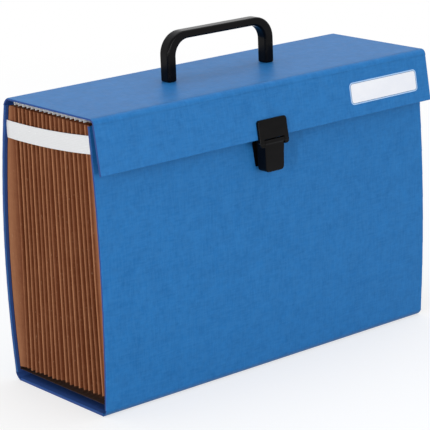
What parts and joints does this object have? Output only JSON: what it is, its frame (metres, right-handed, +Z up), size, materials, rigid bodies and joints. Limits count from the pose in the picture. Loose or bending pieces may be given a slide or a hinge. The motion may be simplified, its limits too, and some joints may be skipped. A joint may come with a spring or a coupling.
{
  "type": "expanding file case",
  "caption": "Portable document case: board walls around a kraft bellows of dividers, hinged lid with latched flap, and a carrying handle.",
  "frame": {"origin": "centre of the bottom board's flat underside, on the table, midway between the feet of the front and back walls", "axes": "+X along the case's long side, to the right as the latch is faced; +Y from front to back; +Z up"},
  "size_m": [0.3786, 0.1557, 0.3008],
  "materials": {
    "blue_board": "embossed covering paper on greyboard",
    "blue_crease": "embossed covering paper",
    "kraft": "matt kraft paper",
    "divider_card": "matt kraft card",
    "index_white": "smooth white card",
    "strap": "woven elastic band",
    "black_plastic": "glossy moulded plastic",
    "steel": "plated steel",
    "label": "blank satin label"
  },
  "bodies": {
    "root": {"bottom_board": "blue_board", "back_board": "blue_board", "back_bottom_crease": "blue_crease", "front_bottom_crease": "blue_crease", "lid_crease": "blue_crease", "back_lining": "kraft", "left_gusset": "kraft", "right_gusset": "kraft", "floor_gusset": "kraft", "left_strap": "strap", "right_strap": "strap"},
    "lid": {"lid_board": "blue_board", "handle": "black_plastic", "handle_plate": "steel", "handle_screws": "steel", "flap_crease": "blue_crease"},
    "flap": {"flap_board": "blue_board", "label": "label", "latch_plate": "black_plastic", "latch_pin": "steel", "latch_screws": "steel"},
    "lever": {"latch_lever": "black_plastic"},
    "front": {"front_board": "blue_board", "front_lining": "kraft", "strike": "black_plastic", "strike_rivets": "steel"},
    "pocket_01": {"divider_01": "divider_card", "index_strip_01": "index_white"},
    "pocket_02": {"divider_02": "divider_card", "index_strip_02": "index_white"},
    "pocket_03": {"divider_03": "divider_card", "index_strip_03": "index_white"},
    "pocket_04": {"divider_04": "divider_card", "index_strip_04": "index_white"},
    "pocket_05": {"divider_05": "divider_card", "index_strip_05": "index_white"},
    "pocket_06": {"divider_06": "divider_card", "index_strip_06": "index_white"},
    "pocket_07": {"divider_07": "divider_card", "index_strip_07": "index_white"},
    "pocket_08": {"divider_08": "divider_card", "index_strip_08": "index_white"},
    "pocket_09": {"divider_09": "divider_card", "index_strip_09": "index_white"},
    "pocket_10": {"divider_10": "divider_card", "index_strip_10": "index_white"},
    "pocket_11": {"divider_11": "divider_card", "index_strip_11": "index_white"},
    "pocket_12": {"divider_12": "divider_card", "index_strip_12": "index_white"},
    "pocket_13": {"divider_13": "divider_card", "index_strip_13": "index_white"},
    "pocket_14": {"divider_14": "divider_card", "index_strip_14": "index_white"},
    "pocket_15": {"divider_15": "divider_card", "index_strip_15": "index_white"},
    "pocket_16": {"divider_16": "divider_card", "index_strip_16": "index_white"},
    "pocket_17": {"divider_17": "divider_card", "index_strip_17": "index_white"}
  },
  "joints": [
    {"name": "lid", "type": "hinge", "parent": "root", "child": "lid", "pos_m": [0, 0.0513, 0.2563], "axis": [-1, 0, 0], "range_deg": [0, 210], "deforming": ["lid_crease"]},
    {"name": "flap", "type": "hinge", "parent": "lid", "child": "flap", "pos_m": [0, -0.07065, 0.2554], "axis": [-1, 0, 0], "range_deg": [0, 90], "deforming": ["flap_crease"]},
    {"name": "latch_lever", "type": "hinge", "parent": "flap", "child": "lever", "pos_m": [0, -0.08062, 0.20809], "axis": [-1, 0, 0], "range_deg": [0, 97]},
    {"name": "front_fan", "type": "hinge", "parent": "root", "child": "front", "pos_m": [0, -0.0615, 0.006], "axis": [1, 0, 0], "range_deg": [0, 24], "deforming": ["front_bottom_crease", "left_gusset", "right_gusset", "floor_gusset", "left_strap", "right_strap"]},
    {"name": "pocket_fan_01", "type": "hinge", "parent": "root", "child": "pocket_01", "pos_m": [0, -0.0615, 0.006], "axis": [1, 0, 0], "range_deg": [0, 0.321]},
    {"name": "pocket_fan_02", "type": "hinge", "parent": "root", "child": "pocket_02", "pos_m": [0, -0.0615, 0.006], "axis": [1, 0, 0], "range_deg": [0, 0.9628]},
    {"name": "pocket_fan_03", "type": "hinge", "parent": "root", "child": "pocket_03", "pos_m": [0, -0.0615, 0.006], "axis": [1, 0, 0], "range_deg": [0, 1.9]},
    {"name": "pocket_fan_04", "type": "hinge", "parent": "root", "child": "pocket_04", "pos_m": [0, -0.0615, 0.006], "axis": [1, 0, 0], "range_deg": [0, 3.1]},
    {"name": "pocket_fan_05", "type": "hinge", "parent": "root", "child": "pocket_05", "pos_m": [0, -0.0615, 0.006], "axis": [1, 0, 0], "range_deg": [0, 4.52]},
    {"name": "pocket_fan_06", "type": "hinge", "parent": "root", "child": "pocket_06", "pos_m": [0, -0.0615, 0.006], "axis": [1, 0, 0], "range_deg": [0, 6.11]},
    {"name": "pocket_fan_07", "type": "hinge", "parent": "root", "child": "pocket_07", "pos_m": [0, -0.0615, 0.006], "axis": [1, 0, 0], "range_deg": [0, 7.83]},
    {"name": "pocket_fan_08", "type": "hinge", "parent": "root", "child": "pocket_08", "pos_m": [0, -0.0615, 0.006], "axis": [1, 0, 0], "range_deg": [0, 9.65]},
    {"name": "pocket_fan_09", "type": "hinge", "parent": "root", "child": "pocket_09", "pos_m": [0, -0.0615, 0.006], "axis": [1, 0, 0], "range_deg": [0, 11.52]},
    {"name": "pocket_fan_10", "type": "hinge", "parent": "root", "child": "pocket_10", "pos_m": [0, -0.0615, 0.006], "axis": [1, 0, 0], "range_deg": [0, 13.4]},
    {"name": "pocket_fan_11", "type": "hinge", "parent": "root", "child": "pocket_11", "pos_m": [0, -0.0615, 0.006], "axis": [1, 0, 0], "range_deg": [0, 15.24]},
    {"name": "pocket_fan_12", "type": "hinge", "parent": "root", "child": "pocket_12", "pos_m": [0, -0.0615, 0.006], "axis": [1, 0, 0], "range_deg": [0, 17.02]},
    {"name": "pocket_fan_13", "type": "hinge", "parent": "root", "child": "pocket_13", "pos_m": [0, -0.0615, 0.006], "axis": [1, 0, 0], "range_deg": [0, 18.69]},
    {"name": "pocket_fan_14", "type": "hinge", "parent": "root", "child": "pocket_14", "pos_m": [0, -0.0615, 0.006], "axis": [1, 0, 0], "range_deg": [0, 20.2]},
    {"name": "pocket_fan_15", "type": "hinge", "parent": "root", "child": "pocket_15", "pos_m": [0, -0.0615, 0.006], "axis": [1, 0, 0], "range_deg": [0, 21.51]},
    {"name": "pocket_fan_16", "type": "hinge", "parent": "root", "child": "pocket_16", "pos_m": [0, -0.0615, 0.006], "axis": [1, 0, 0], "range_deg": [0, 22.59]},
    {"name": "pocket_fan_17", "type": "hinge", "parent": "root", "child": "pocket_17", "pos_m": [0, -0.0615, 0.006], "axis": [1, 0, 0], "range_deg": [0, 23.39]}
  ],
  "couplings": [
    {"joint": "front_fan", "follows": "lid", "ratio": 0.11429},
    {"joint": "pocket_fan_01", "follows": "lid", "ratio": 0.001524},
    {"joint": "pocket_fan_02", "follows": "lid", "ratio": 0.00458},
    {"joint": "pocket_fan_03", "follows": "lid", "ratio": 0.009059},
    {"joint": "pocket_fan_04", "follows": "lid", "ratio": 0.014765},
    {"joint": "pocket_fan_05", "follows": "lid", "ratio": 0.021501},
    {"joint": "pocket_fan_06", "follows": "lid", "ratio": 0.029072},
    {"joint": "pocket_fan_07", "follows": "lid", "ratio": 0.037282},
    {"joint": "pocket_fan_08", "follows": "lid", "ratio": 0.045934},
    {"joint": "pocket_fan_09", "follows": "lid", "ratio": 0.054833},
    {"joint": "pocket_fan_10", "follows": "lid", "ratio": 0.063782},
    {"joint": "pocket_fan_11", "follows": "lid", "ratio": 0.072586},
    {"joint": "pocket_fan_12", "follows": "lid", "ratio": 0.081048},
    {"joint": "pocket_fan_13", "follows": "lid", "ratio": 0.088973},
    {"joint": "pocket_fan_14", "follows": "lid", "ratio": 0.096164},
    {"joint": "pocket_fan_15", "follows": "lid", "ratio": 0.10243},
    {"joint": "pocket_fan_16", "follows": "lid", "ratio": 0.10756},
    {"joint": "pocket_fan_17", "follows": "lid", "ratio": 0.11138}
  ]
}
